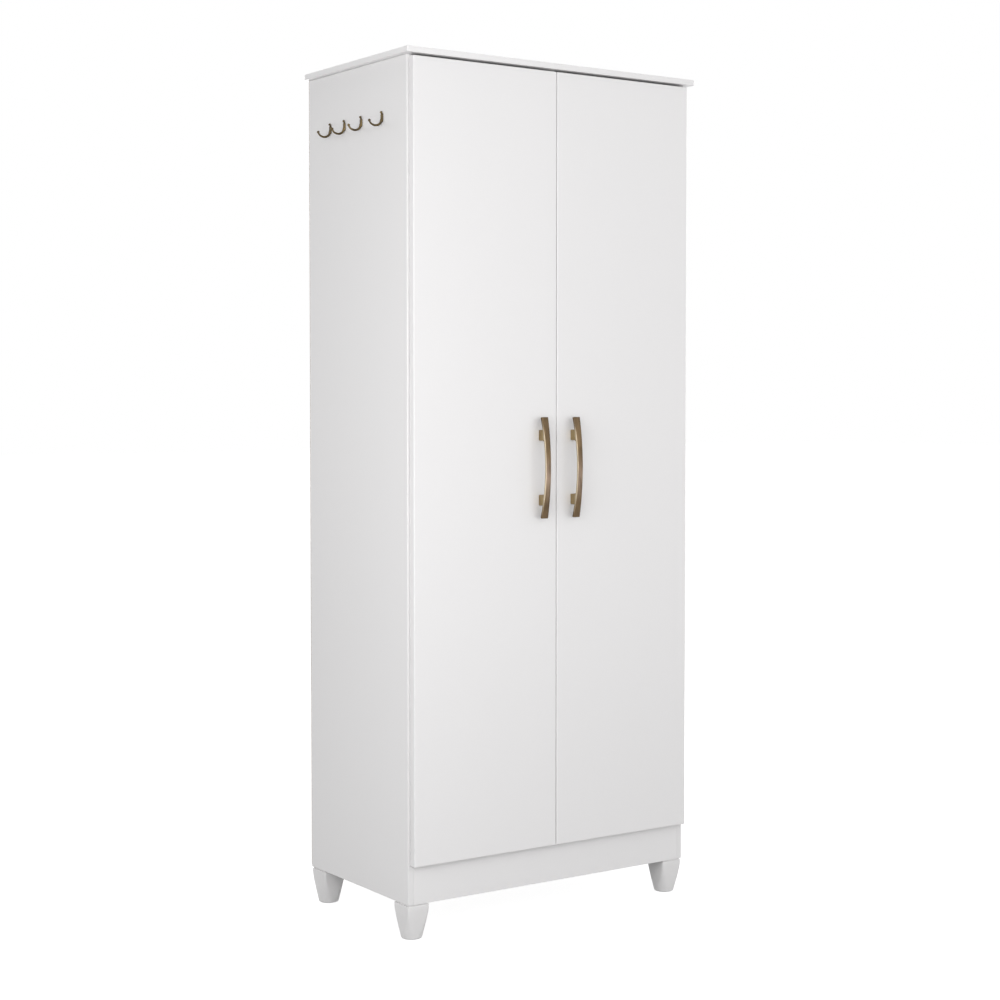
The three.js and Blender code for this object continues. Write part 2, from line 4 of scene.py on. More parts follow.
import bmesh
import bpy
import numpy as np
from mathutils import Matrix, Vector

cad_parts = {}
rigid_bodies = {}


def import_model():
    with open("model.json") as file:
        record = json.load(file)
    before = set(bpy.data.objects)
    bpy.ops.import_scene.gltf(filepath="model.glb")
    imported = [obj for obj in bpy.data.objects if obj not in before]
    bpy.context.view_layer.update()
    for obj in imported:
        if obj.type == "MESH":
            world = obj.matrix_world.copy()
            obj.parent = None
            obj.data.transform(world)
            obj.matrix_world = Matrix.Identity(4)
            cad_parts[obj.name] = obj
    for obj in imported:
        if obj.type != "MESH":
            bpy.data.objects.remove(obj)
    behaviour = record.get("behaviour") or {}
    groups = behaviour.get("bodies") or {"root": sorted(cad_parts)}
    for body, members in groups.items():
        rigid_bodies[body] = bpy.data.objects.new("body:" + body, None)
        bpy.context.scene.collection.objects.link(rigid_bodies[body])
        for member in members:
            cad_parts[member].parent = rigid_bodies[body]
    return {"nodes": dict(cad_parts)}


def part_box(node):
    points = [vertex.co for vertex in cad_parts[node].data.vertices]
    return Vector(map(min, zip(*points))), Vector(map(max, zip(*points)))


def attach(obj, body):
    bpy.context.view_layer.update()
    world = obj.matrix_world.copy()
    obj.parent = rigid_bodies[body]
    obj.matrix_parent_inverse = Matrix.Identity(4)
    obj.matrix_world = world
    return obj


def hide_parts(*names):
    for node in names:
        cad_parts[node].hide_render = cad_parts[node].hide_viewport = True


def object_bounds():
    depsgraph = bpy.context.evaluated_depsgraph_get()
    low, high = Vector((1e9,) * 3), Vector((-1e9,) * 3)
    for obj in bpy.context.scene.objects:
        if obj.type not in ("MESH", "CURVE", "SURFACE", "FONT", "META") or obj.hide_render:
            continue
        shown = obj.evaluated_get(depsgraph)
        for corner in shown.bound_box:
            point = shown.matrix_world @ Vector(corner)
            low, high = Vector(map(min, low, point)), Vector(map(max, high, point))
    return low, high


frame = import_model()
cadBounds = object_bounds()
print("frame loaded:", len(frame["nodes"]), "nodes")


# Places taken from the frame
def cornersOf(node):
    low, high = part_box(node)
    return np.array(low), np.array(high)


def middleOf(node):
    low, high = cornersOf(node)
    return (low + high) / 2


def rearMiddleOf(node):
    # The middle of a node's rear face.
    middle = middleOf(node)
    middle[1] = cornersOf(node)[1][1]
    return middle


def metres(sizes):
    return {name: value / 1000 for name, value in sizes.items()}


# Surfaces. A part is a pair: an array of points, and a list of faces that name points by number.
def roundedRings(halfU, halfV, corner, steps):
    # Points round rectangles with arc corners, one ring for each size: a corner's centre plus its radius
    # times (cos, sin) of the turn.
    sizes = [np.atleast_1d(size).astype(float) for size in (halfU, halfV, corner)]
    halfU, halfV, corner = np.broadcast_arrays(*sizes)
    quarter = np.arange(4).repeat(steps + 1)
    turn = np.tile(np.linspace(0, math.pi / 2, steps + 1), 4) + quarter * math.pi / 2
    signs = np.array([[1, 1], [-1, 1], [-1, -1], [1, -1]])[quarter]
    centres = np.stack([halfU - corner, halfV - corner], -1)[:, None] * signs[None]
    return centres + corner[:, None, None] * np.stack([np.cos(turn), np.sin(turn)], -1)[None]


def shell(rings):
    # A closed skin over a stack of rings, rows by points by 3, with a flat cap on the first and last ring.
    rows, count = rings.shape[:2]
    index = np.arange(rows * count).reshape(rows, count)
    here, above = index[:-1], index[1:]
    quads = np.stack([here, np.roll(here, -1, 1), np.roll(above, -1, 1), above], -1).reshape(-1, 4)
    return rings.reshape(-1, 3), quads.tolist() + [index[0, ::-1].tolist(), index[-1].tolist()]


def arcInset(radius, steps):
    # A quarter arc that rounds an edge: how far it draws in from the side, and its height above the face.
    turn = np.linspace(0, math.pi / 2, steps + 1)
    return radius * (1 - np.sin(turn)), radius * (1 - np.cos(turn))


flatFace = {"margin": 0.0012, "cornerShare": 0.25}  # a face's last ring, and the least share of its corner


def boardShape(low, high, through, lowEdge, highEdge, corner, steps=6):
    # Rounded rectangles stacked through the board's thickness: quarter arcs draw them in towards both faces,
    # and a last ring just inside each face keeps that face flat in the shading.
    flat = [axis for axis in range(3) if axis != through]
    margin = flatFace["margin"]
    leastCorner = corner * flatFace["cornerShare"]
    lowIn, lowUp = arcInset(lowEdge, steps)
    highIn, highUp = arcInset(highEdge, steps)
    inset = np.concatenate([[lowEdge + margin], lowIn, highIn[::-1], [highEdge + margin]])
    place = np.concatenate([[0], lowUp, (high - low)[through] - highUp[::-1], [(high - low)[through]]])
    half = (high - low)[flat] / 2
    rings = roundedRings(half[0] - inset, half[1] - inset, np.maximum(corner - inset, leastCorner), steps)
    points = np.empty(rings.shape[:2] + (3,))
    points[..., flat] = rings + (low + high)[flat] / 2
    points[..., through] = (low[through] + place)[:, None]
    return shell(points)


def turned(profile, axis, at, sides=20):
    # A profile of (radius, distance along the axis) pairs carried round the axis that runs through a point.
    radius, along = np.array(profile).T
    turn = np.linspace(0, 2 * math.pi, sides, endpoint=False)
    across = [other for other in range(3) if other != axis]
    points = np.empty((len(radius), sides, 3))
    points[..., across[0]] = at[across[0]] + radius[:, None] * np.cos(turn)
    points[..., across[1]] = at[across[1]] + radius[:, None] * np.sin(turn)
    points[..., axis] = at[axis] + along[:, None]
    return shell(points)


# Every screw's head, in shares of its radius and height: the dome's first ring and its fall to the rim, how
# far the cross reaches and the stretch over which it ends. The recess has its wall at crossWall slot widths.
screwHead = {"rings": 14, "firstRing": 0.04, "domeFall": 0.55, "crossReach": 0.62, "crossEnd": 0.12,
             "crossWall": 1.6}


def screwShape(at, axis, way, size, sides=20):
    # A pan head with a cross recess, on a shank: rings of growing radius over the head, whose height is a
    # dome less the cross, then down the rim, in to the shank and along it to the tip. way is +1 or -1, out
    # along the axis.
    head = size["headRadius"]
    radius = np.linspace(screwHead["firstRing"], 1, screwHead["rings"]) * head
    turn = np.linspace(0, 2 * math.pi, sides, endpoint=False)
    u, v = radius[:, None] * np.cos(turn), radius[:, None] * np.sin(turn)
    dome = size["headHeight"] * (1 - screwHead["domeFall"] * (radius / head) ** 3)[:, None]
    arm = np.clip(screwHead["crossWall"] - np.minimum(abs(u), abs(v)) / size["slot"], 0, 1)
    reach = np.clip((head * screwHead["crossReach"] - radius) / (head * screwHead["crossEnd"]), 0, 1)
    height = dome - size["recess"] * arm * reach[:, None]
    under = [(head, 0), (size["shank"], 0), (size["shank"], -size["length"])]
    ringRadius = np.array([r for r, _ in under])[:, None] * np.ones(sides)
    u = np.concatenate([u, ringRadius * np.cos(turn)])
    v = np.concatenate([v, ringRadius * np.sin(turn)])
    height = np.concatenate([height, np.array([h for _, h in under])[:, None] * np.ones(sides)])
    across = [other for other in range(3) if other != axis]
    points = np.empty(u.shape + (3,))
    points[..., across[0]] = at[across[0]] + u
    points[..., across[1]] = at[across[1]] + v
    points[..., axis] = at[axis] + way * height
    return shell(points)


def copyOf(node):
    # The frame's solid as a part, with its loose triangles; meshOf merges them.
    mesh = frame["nodes"][node].data
    points = np.empty(len(mesh.vertices) * 3)
    mesh.vertices.foreach_get("co", points)
    return points.reshape(-1, 3), [list(face.vertices) for face in mesh.polygons]


def meshOf(name, parts, mergeWithin=2e-6):
    # All parts in one mesh, their doubled points merged and their faces turned outwards.
    points, faces, start = [], [], 0
    for partPoints, partFaces in parts:
        points.append(partPoints)
        faces += [[start + corner for corner in face] for face in partFaces]
        start += len(partPoints)
    mesh = bpy.data.meshes.new(name)
    mesh.from_pydata(np.concatenate(points).tolist(), [], faces)
    work = bmesh.new()
    work.from_mesh(mesh)
    bmesh.ops.remove_doubles(work, verts=work.verts, dist=mergeWithin)
    bmesh.ops.recalc_face_normals(work, faces=work.faces)
    work.to_mesh(mesh)
    work.free()
    return mesh


def objectOf(name, parts):
    made = bpy.data.objects.new(name, meshOf(name, parts))
    bpy.context.scene.collection.objects.link(made)
    return made


def settled(made):
    # Applies the modifiers, so that the mesh itself holds the finished shape.
    bpy.context.view_layer.update()
    graph = bpy.context.evaluated_depsgraph_get()
    mesh = bpy.data.meshes.new_from_object(made.evaluated_get(graph))
    made.modifiers.clear()
    made.data = mesh


def carved(made, operation, tools):
    # Cuts the tools out of a piece or joins them to it; each tool is a list of parts.
    for number, parts in enumerate(tools):
        tool = objectOf(f"tool{number}", parts)
        step = made.modifiers.new("carve", "BOOLEAN")
        step.operation = operation
        step.solver = "EXACT"
        step.object = tool
    settled(made)
    for tool in [o for o in bpy.context.scene.objects if o.name.startswith("tool")]:
        bpy.data.objects.remove(tool)


def bevelled(made, width, segments=2, sharperThan=35):
    step = made.modifiers.new("edge", "BEVEL")
    step.width = width
    step.segments = segments
    step.limit_method = "ANGLE"
    step.angle_limit = math.radians(sharperThan)
    step.miter_outer = "MITER_ARC"
    settled(made)


def finished(made, finish, body, stands=(), smoothUnder=40):
    # Shading, finish and body of a piece, and the frame's nodes that it stands for.
    mesh = made.data
    mesh.polygons.foreach_set("use_smooth", np.ones(len(mesh.polygons), bool))
    mesh.set_sharp_from_angle(angle=math.radians(smoothUnder))
    mesh.materials.clear()
    mesh.materials.append(finish["material"])
    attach(made, body)
    if stands:
        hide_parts(*stands)


# Shader maths: an output socket on which + - * / and ** add Math nodes, and node() adds any other node.
class Flow:
    def __init__(self, tree, socket):
        self.tree = tree
        self.socket = socket

    def node(self, kind, settings=None, inputs=None, out=0):
        # A new node: its settings first, then a value or a link for each input, and one output as the result.
        made = self.tree.nodes.new(kind)
        for key, value in (settings or {}).items():
            setattr(made, key, value)
        for key, value in (inputs or {}).items():
            if isinstance(value, Flow):
                self.tree.links.new(value.socket, made.inputs[key])
            else:
                made.inputs[key].default_value = value
        return Flow(self.tree, made.outputs[out] if len(made.outputs) else None)

    def maths(self, operation, *values):
        return self.node("ShaderNodeMath", {"operation": operation}, dict(enumerate(values)))

    def __add__(self, other):
        return self.maths("ADD", self, other)

    def __sub__(self, other):
        return self.maths("SUBTRACT", self, other)

    def __rsub__(self, other):
        return self.maths("SUBTRACT", other, self)

    def __mul__(self, other):
        return self.maths("MULTIPLY", self, other)

    def __truediv__(self, other):
        return self.maths("DIVIDE", self, other)

    def __rtruediv__(self, other):
        return self.maths("DIVIDE", other, self)

    def __pow__(self, other):
        return self.maths("POWER", self, other)

    __radd__ = __add__
    __rmul__ = __mul__

    def clamped(self, low, high):
        # 0 at low and 1 at high, straight between and flat beyond; low may be the larger of the two.
        return self.node("ShaderNodeMapRange", {"clamp": True}, {
            "Value": self, "From Min": low, "From Max": high, "To Min": 0.0, "To Max": 1.0})

    def noise(self, scale, detail=2.0, roughness=0.5, stretch=(1, 1, 1)):
        place = self.node("ShaderNodeMapping", None, {"Vector": self, "Scale": stretch})
        return self.node("ShaderNodeTexNoise", None, {
            "Vector": place, "Scale": scale, "Detail": detail, "Roughness": roughness})

    def around(self, middle, spread):
        # A value that keeps round the middle, with the given spread, where this one runs from 0 to 1.
        return self * spread + (middle - spread / 2)

    def mixed(self, low, high):
        # The colour low where this value is 0 and high where it is 1, by the node's colour sockets.
        sides = {"Factor": self, 6: low if isinstance(low, Flow) else (*low, 1),
                 7: high if isinstance(high, Flow) else (*high, 1)}
        return self.node("ShaderNodeMix", {"data_type": "RGBA"}, sides, out=2)

    def part(self, axis):
        return self.node("ShaderNodeSeparateXYZ", None, {"Vector": self}, out="XYZ".index(axis))


def newMaterial(name):
    material = bpy.data.materials.new(name)
    material.use_nodes = True
    tree = material.node_tree
    tree.nodes.clear()
    place = tree.nodes.new("ShaderNodeTexCoord").outputs["Object"]
    return material, Flow(tree, place)


def surfaced(material, place, sockets, bump, bumpHeight, bumpStrength):
    # A Principled shader with the given sockets, and a bump of the given height in metres.
    sockets["Normal"] = place.node("ShaderNodeBump", None, {
        "Height": bump, "Strength": bumpStrength, "Distance": bumpHeight})
    shader = place.node("ShaderNodeBsdfPrincipled", None, sockets)
    place.node("ShaderNodeOutputMaterial", None, {"Surface": shader})
    return material


# Finishes
# Each look gives its colours, its roughness with the spread round it, the scales of its noise, with a stretch
# where it isn't even, and the height of its bump in metres.
lacquerLook = {"colour": (0.846, 0.836, 0.838), "shade": (0.838, 0.828, 0.830),
               "roughness": 0.32, "spread": 0.06, "coat": 0.16, "coatRoughness": 0.18,
               "peelScale": 420.0, "fineScale": 2100.0, "bumpHeight": 0.00006}


def makeLacquer(look):
    material, place = newMaterial("whiteLacquer")
    peel = place.noise(look["peelScale"], 2.0, 0.45)
    fine = place.noise(look["fineScale"], 1.0)
    return surfaced(material, place, {
        "Base Color": peel.clamped(0.3, 0.7).mixed(look["shade"], look["colour"]),
        "Roughness": fine.around(look["roughness"], look["spread"]),
        "Coat Weight": look["coat"], "Coat Roughness": look["coatRoughness"], "IOR": 1.5,
    }, peel + fine * 0.25, look["bumpHeight"], 0.25)


boardLook = {"colour": (0.80, 0.795, 0.78), "pore": (0.782, 0.777, 0.762), "roughness": 0.44, "spread": 0.16,
             "grainScale": 55.0, "grainStretch": (1, 0.08, 1), "poreScale": 900.0, "bumpHeight": 0.0001}


def makeBoard(look):
    material, place = newMaterial("whiteBoard")
    grain = place.noise(look["grainScale"], 5.0, 0.62, look["grainStretch"])
    pore = place.noise(look["poreScale"], 2.0)
    return surfaced(material, place, {
        "Base Color": grain.clamped(0.42, 0.62).mixed(look["pore"], look["colour"]),
        "Roughness": pore.around(look["roughness"], look["spread"]), "IOR": 1.48,
    }, grain * 0.6 + pore * 0.4, look["bumpHeight"], 0.2)


backLook = {"inside": (0.79, 0.785, 0.77), "fibre": (0.33, 0.22, 0.13), "fibreDark": (0.20, 0.125, 0.07),
            "roughness": 0.62, "spread": 0.2, "faceBlend": 0.0001, "feltScale": 260.0, "fleckScale": 1100.0,
            "fleckStretch": (1, 1, 0.4), "cloudScale": 5.0, "bumpHeight": 0.0002}


def makeBackBoard(look, faceY):
    # Painted white towards the shelves; behind faceY the pressed fibre shows.
    material, place = newMaterial("backBoard")
    behind = place.part("Y").clamped(faceY - look["faceBlend"], faceY + look["faceBlend"])
    felt = place.noise(look["feltScale"], 6.0, 0.7)
    flecks = place.noise(look["fleckScale"], 3.0, 0.6, look["fleckStretch"])
    cloud = place.noise(look["cloudScale"], 3.0)
    fibre = (felt * 0.7 + flecks * 0.45 + cloud * 0.35 - 0.25).clamped(0.25, 0.75)
    colour = behind.mixed(look["inside"], fibre.mixed(look["fibreDark"], look["fibre"]))
    return surfaced(material, place, {
        "Base Color": colour, "Roughness": felt.around(look["roughness"], look["spread"]), "IOR": 1.45,
    }, felt + flecks * 0.6, look["bumpHeight"], 0.3)


plasticLook = {"colour": (0.815, 0.805, 0.806), "shade": (0.79, 0.78, 0.781), "roughness": 0.30,
               "spread": 0.12, "coat": 0.3, "coatRoughness": 0.14, "flowScale": 38.0, "grainScale": 1500.0,
               "bumpHeight": 0.00005}


def makePlastic(look):
    material, place = newMaterial("footPlastic")
    flow = place.noise(look["flowScale"], 3.0)
    grain = place.noise(look["grainScale"], 2.0)
    return surfaced(material, place, {
        "Base Color": flow.clamped(0.3, 0.7).mixed(look["shade"], look["colour"]),
        "Roughness": grain.around(look["roughness"], look["spread"]), "IOR": 1.48,
        "Coat Weight": look["coat"], "Coat Roughness": look["coatRoughness"],
    }, grain, look["bumpHeight"], 0.2)


# The handle's worn, gold, olive and umber are the brass's own colours. The posts' colour is a lighter gold
# painted on as painted light, and the bright colour is a painted highlight on the bar's left side.
handleBrassLook = {"worn": (0.27, 0.2, 0.15), "gold": (0.150, 0.102, 0.058), "olive": (0.130, 0.090, 0.044),
                   "umber": (0.075, 0.047, 0.027), "litPost": (0.39, 0.295, 0.155),
                   "bright": (0.56, 0.48, 0.35), "roughness": 0.40}
hookBrassLook = {"gold": (0.16, 0.115, 0.055), "olive": (0.10, 0.078, 0.04), "umber": (0.045, 0.03, 0.02),
                 "roughness": 0.42}
brassGrain = {"brushScale": 420.0, "brushStretch": (1, 1, 0.035), "blotchScale": 75.0,
              "blotchStretch": (1, 1, 0.35), "speckScale": 1800.0, "bumpHeight": 0.00008}
# Heights from a handle's middle: how far below it the rubbed stretch is centred and how far that reaches,
# and where the ends' painted shade starts and is full; blend is the depth in which a post's painted light
# begins.
grip = metres({"below": 21, "rubbed": 62, "shadedEndStart": 62, "shadedEndFull": 95, "blend": 0.6})


def makeBrass(name, look, arc=None):
    # Antique brass, brushed along its length, with umber in blotches and in the low places of the brushing.
    # On a handle, hands have rubbed the stretch round the grip pink and pale. The bar's left side has a
    # painted highlight, and its right side and its ends have painted shade. The posts, which lie inside the
    # arc of the bar's back, are painted a lighter gold, as painted light.
    material, place = newMaterial(name)
    brush = place.noise(brassGrain["brushScale"], 3.0, 0.6, brassGrain["brushStretch"])
    blotch = place.noise(brassGrain["blotchScale"], 4.0, 0.6, brassGrain["blotchStretch"])
    speck = place.noise(brassGrain["speckScale"], 2.0)
    warm = (blotch * 0.7 + brush * 0.45).clamped(0.42, 0.72)
    colour = warm.mixed(look["olive"], look["gold"])
    patinaAndShade = (blotch * 0.8 + brush * 0.5 + speck * 0.2).clamped(0.86, 0.56) * 0.8
    if arc:
        level = place.part("Z") - arc["z"]
        fromGrip = place.maths("ABSOLUTE", level + grip["below"]) / grip["rubbed"]
        colour = (fromGrip + blotch * 0.9).clamped(1.25, 0.55).mixed(colour, look["worn"])
        # Painted shade: the bar darkens towards its square-cut ends.
        end = place.maths("ABSOLUTE", level).clamped(grip["shadedEndStart"], grip["shadedEndFull"])
        fromCentre = (level ** 2 + (place.part("Y") - arc["y"]) ** 2) ** 0.5
        # Painted light: the posts get a lighter gold and less umber than the bar.
        litPost = fromCentre.clamped(arc["back"], arc["back"] - grip["blend"])
        colour = litPost.mixed(colour, look["litPost"])
        # Painted highlight: faces that turn to the left get a pale gold and less umber, except on the posts
        # and ends.
        facing = place.node("ShaderNodeTexCoord", out="Normal").part("X")
        leftHighlight = facing.clamped(-0.55, -0.9) * (1 - litPost) * (1 - end)
        # Painted shade: faces that turn to the right get more umber.
        rightShade = facing.clamped(0.02, 0.28)
        colour = leftHighlight.mixed(colour, look["bright"])
        # The umber share is the brass's own patina plus the painted shade of the ends and right side.
        patinaAndShade = patinaAndShade * (1 - litPost * 0.6) * (1 - leftHighlight * 0.8) + end * 0.15 + rightShade * 0.3
    colour = patinaAndShade.mixed(colour, look["umber"])
    return surfaced(material, place, {
        "Base Color": colour, "Metallic": 1.0 - patinaAndShade * 0.3,
        "Roughness": brush * 0.14 + patinaAndShade * 0.15 + (look["roughness"] - 0.1),
    }, brush + speck * 0.3, brassGrain["bumpHeight"], 0.3)


steelLook = {"colour": (0.63, 0.625, 0.61), "dull": (0.50, 0.495, 0.48), "roughness": 0.26,
             "brushScale": 700.0, "brushStretch": (1, 1, 0.06), "cloudScale": 60.0, "bumpHeight": 0.00004}


def makeSteel(look):
    material, place = newMaterial("nickelSteel")
    brush = place.noise(look["brushScale"], 3.0, 0.6, look["brushStretch"])
    cloud = place.noise(look["cloudScale"], 3.0)
    return surfaced(material, place, {
        "Base Color": cloud.clamped(0.3, 0.7).mixed(look["dull"], look["colour"]), "Metallic": 1.0,
        "Roughness": brush * 0.14 + cloud * 0.1 + (look["roughness"] - 0.1),
    }, brush, look["bumpHeight"], 0.2)


backMiddleY = middleOf("back_panel_left")[1]
lacquer = {"material": makeLacquer(lacquerLook), "slot": "white_lacquer"}
whiteBoard = {"material": makeBoard(boardLook), "slot": "white_board"}
backBoard = {"material": makeBackBoard(backLook, backMiddleY), "slot": "back_board"}
plastic = {"material": makePlastic(plasticLook), "slot": "foot_plastic"}
hookBrass = {"material": makeBrass("hookBrass", hookBrassLook), "slot": "antique_brass"}
steel = {"material": makeSteel(steelLook), "slot": "nickel_steel"}
print("finishes made")


# Boards of the body: the axis through each one, the radii of its edges at the low face and at the high face,
# the radius of its corners, and its finish
panel = metres({"outer": 1.5, "inner": 0.3, "plinth": 0.3, "slab": 3.5, "slabUnder": 0.8,
                "slabCorner": 3, "lining": 0.8, "back": 0.4})
boards = {
    "left_side_panel": (0, "outer", "inner", "outer", lacquer),
    "right_side_panel": (0, "inner", "outer", "outer", lacquer),
    "top_slab": (2, "slabUnder", "slab", "slabCorner", lacquer),
    "bottom_panel": (2, "lining", "lining", "lining", whiteBoard),
    "plinth_front": (1, "plinth", "plinth", "plinth", lacquer),
    "plinth_rear": (1, "lining", "lining", "lining", whiteBoard),
    "centre_divider": (0, "lining", "lining", "lining", whiteBoard),
    "back_panel_left": (1, "back", "back", "lining", backBoard),
    "back_panel_right": (1, "back", "back", "lining", backBoard),
}
shelves = [node for node in frame["nodes"] if "shelf" in node]
boards.update({node: (2, "lining", "lining", "lining", whiteBoard) for node in shelves})


def makeBoards():
    for node, (through, lowEdge, highEdge, corner, finish) in boards.items():
        low, high = cornersOf(node)
        shape = boardShape(low, high, through, panel[lowEdge], panel[highEdge], panel[corner])
        finished(objectOf(f"{node}_board", [shape]), finish, "carcass", [node])


makeBoards()
print("boards made")


# Doors: a board with a soft front edge, bored for the hinge cups and the handle screws. It is a little taller
# and wider than its solid, because the photograph shows a thinner dark strip under the slab and a finer seam.
doorSize = metres({"frontEdge": 2.2, "backEdge": 0.4, "corner": 2, "taller": 2, "wider": 0.35,
                   "cupRadius": 17.5, "cupDepth": 11.8, "screwHole": 2.3, "overrun": 1})
doorGrid = {"edge": 8, "cup": 64, "screwHole": 24}  # steps of an edge's arc, points round each bore


def makeDoor(side):
    low, high = cornersOf(f"{side}_door")
    high[2] += doorSize["taller"]
    if side == "left":
        high[0] += doorSize["wider"]
    else:
        low[0] -= doorSize["wider"]
    made = objectOf(f"{side}_door_board", [boardShape(
        low, high, 1, doorSize["frontEdge"], doorSize["backEdge"], doorSize["corner"], doorGrid["edge"])])
    past, through = doorSize["overrun"], high[1] - low[1]
    cup = [(doorSize["cupRadius"], -doorSize["cupDepth"]), (doorSize["cupRadius"], past)]
    hole = [(doorSize["screwHole"], -through - past), (doorSize["screwHole"], past)]
    bores = [(f"{side}_hinge_cup_{number}", cup, doorGrid["cup"]) for number in (1, 2, 3)]
    bores += [(f"{side}_handle_screw_{number}", hole, doorGrid["screwHole"]) for number in (1, 2)]
    tools = []
    for node, profile, sides in bores:
        middle = middleOf(node)
        middle[1] = high[1]
        tools.append([turned(profile, 1, middle, sides)])
    carved(made, "DIFFERENCE", tools)
    finished(made, lacquer, f"{side}_door", [f"{side}_door"])


for side in ("left", "right"):
    makeDoor(side)
print("doors made")


# Handles: a bar on a circular arc that flares towards its square-cut ends, on two block posts
handle = metres({"postSpacing": 128, "length": 199, "standoff": 25, "bow": 13, "middleWidth": 12,
                 "endWidth": 16, "thick": 6, "crown": 0.8, "edge": 1.6, "endRound": 0.7, "postWidth": 10,
                 "postHeight": 21, "postCorner": 1.4, "postSink": 2, "postFillet": 1.5, "postFoot": 0.5})
# Rings along the bar and the share of its half length that they reach before the end's arc, steps of the
# arcs, and how much of the end's inset comes off the radius of the bar's edges
handleGrid = {"rings": 61, "ringReach": 0.985, "end": 4, "edge": 6, "edgeLoss": 0.6, "fillet": 6, "foot": 3,
              "postCorner": 5}
barRadius = ((handle["length"] / 2) ** 2 + handle["bow"] ** 2) / (2 * handle["bow"])
barArc = {"y": rearMiddleOf("left_handle")[1] + barRadius - handle["standoff"],
          "z": rearMiddleOf("left_handle")[2], "back": barRadius - handle["thick"] / 2}
handleBrass = {"material": makeBrass("handleBrass", handleBrassLook, barArc), "slot": "antique_brass"}


def makeHandle(side):
    # Rings round a circular arc: share runs from -1 to 1 along the bar, the angle is share times the arc's
    # half angle, and the width grows with share squared. The posts are rings stacked from inside the bar's
    # back to the door.
    centre = rearMiddleOf(f"{side}_handle")
    half, radius = handle["length"] / 2, barRadius
    reach = math.asin(half / radius)
    roundIn, roundUp = arcInset(handle["endRound"], handleGrid["end"])
    along = np.linspace(-handleGrid["ringReach"], handleGrid["ringReach"], handleGrid["rings"])
    share = np.concatenate([roundUp / half - 1, along, 1 - roundUp[::-1] / half])
    inset = np.concatenate([roundIn, np.zeros(handleGrid["rings"]), roundIn[::-1]])
    width = handle["middleWidth"] + (handle["endWidth"] - handle["middleWidth"]) * share ** 2
    ring = roundedRings(width / 2 - inset, handle["thick"] / 2 - inset,
                        handle["edge"] - inset * handleGrid["edgeLoss"], handleGrid["edge"])
    across, out = ring[..., 0], ring[..., 1]
    front = np.clip(out / (handle["thick"] / 2), 0, 1)
    # The front face falls away to both sides, like a low crown
    out = out - handle["crown"] * front * (across / (width / 2)[:, None]) ** 2
    angle = (reach * share)[:, None]
    arc = radius + out
    bar = np.stack([across, radius - handle["standoff"] - arc * np.cos(angle), arc * np.sin(angle)], -1)
    made = objectOf(f"{side}_handle_bar", [shell(bar + centre)])

    postTurn = math.asin(handle["postSpacing"] / 2 / radius)
    barBack = radius - handle["standoff"] - (radius - handle["thick"] / 2) * math.cos(postTurn)
    fillet, rise = arcInset(handle["postFillet"], handleGrid["fillet"])  # widest where the post meets the bar
    footIn, footUp = arcInset(handle["postFoot"], handleGrid["foot"])
    grow = np.concatenate([[fillet[0]], fillet, -footIn[::-1]])
    place = np.concatenate([[barBack - handle["postSink"]], barBack + rise, -footUp[::-1]])
    rings = roundedRings(handle["postWidth"] / 2 + grow, handle["postHeight"] / 2 + grow,
                         handle["postCorner"], handleGrid["postCorner"])
    posts = []
    for end in (-1, 1):
        points = np.empty(rings.shape[:2] + (3,))
        points[..., 0] = rings[..., 0]
        points[..., 1] = place[:, None]
        points[..., 2] = rings[..., 1] + end * handle["postSpacing"] / 2
        posts.append([shell(points + centre)])
    carved(made, "UNION", posts)
    finished(made, handleBrass, f"{side}_door", [f"{side}_handle"], smoothUnder=32)


handleScrew = metres({"headRadius": 4, "headHeight": 2.4, "shank": 2, "length": 24, "slot": 0.75,
                      "recess": 1.3})


def makeHandleScrews(side):
    for number in (1, 2):
        node = f"{side}_handle_screw_{number}"
        seat = rearMiddleOf(node)
        seat[1] -= handleScrew["headHeight"]
        shape = screwShape(seat, 1, 1, handleScrew, sides=32)
        finished(objectOf(f"{node}_shape", [shape]), steel, f"{side}_door", [node], smoothUnder=30)


for side in ("left", "right"):
    makeHandle(side)
    makeHandleScrews(side)
print("handles made")


# Side hooks: a slim rounded plate with a ball finial, and an arm on a half ellipse that thins towards its
# ball tip. They are cast in one by a voxel remesh of the given grain, then softened.
hook = metres({"plateWidth": 8, "plateHeight": 17.5, "plateThick": 2.6, "plateRim": 1.0, "armSpan": 26.5,
               "armDrop": 10.5, "rootRadius": 2.5, "rootRise": 8, "rootTop": 1, "tipRadius": 1.7,
               "ballRadius": 2.8, "finialRadius": 2.5, "finialSink": 0.8, "grain": 0.3})
hookSweep = 170  # degrees of the half ellipse
# Rings along the arm and its root, points round them, points of the plate's arcs and the share of its half
# width that its rim draws in, rings and points of a ball and the angle left open at its poles, the softening
hookGrid = {"arm": 40, "root": 6, "round": 20, "rim": 6, "rimShare": 0.55, "plateCorner": 8, "ballRings": 14,
            "ballRound": 20, "ballPole": 0.06, "soften": 0.5, "softenTimes": 4}


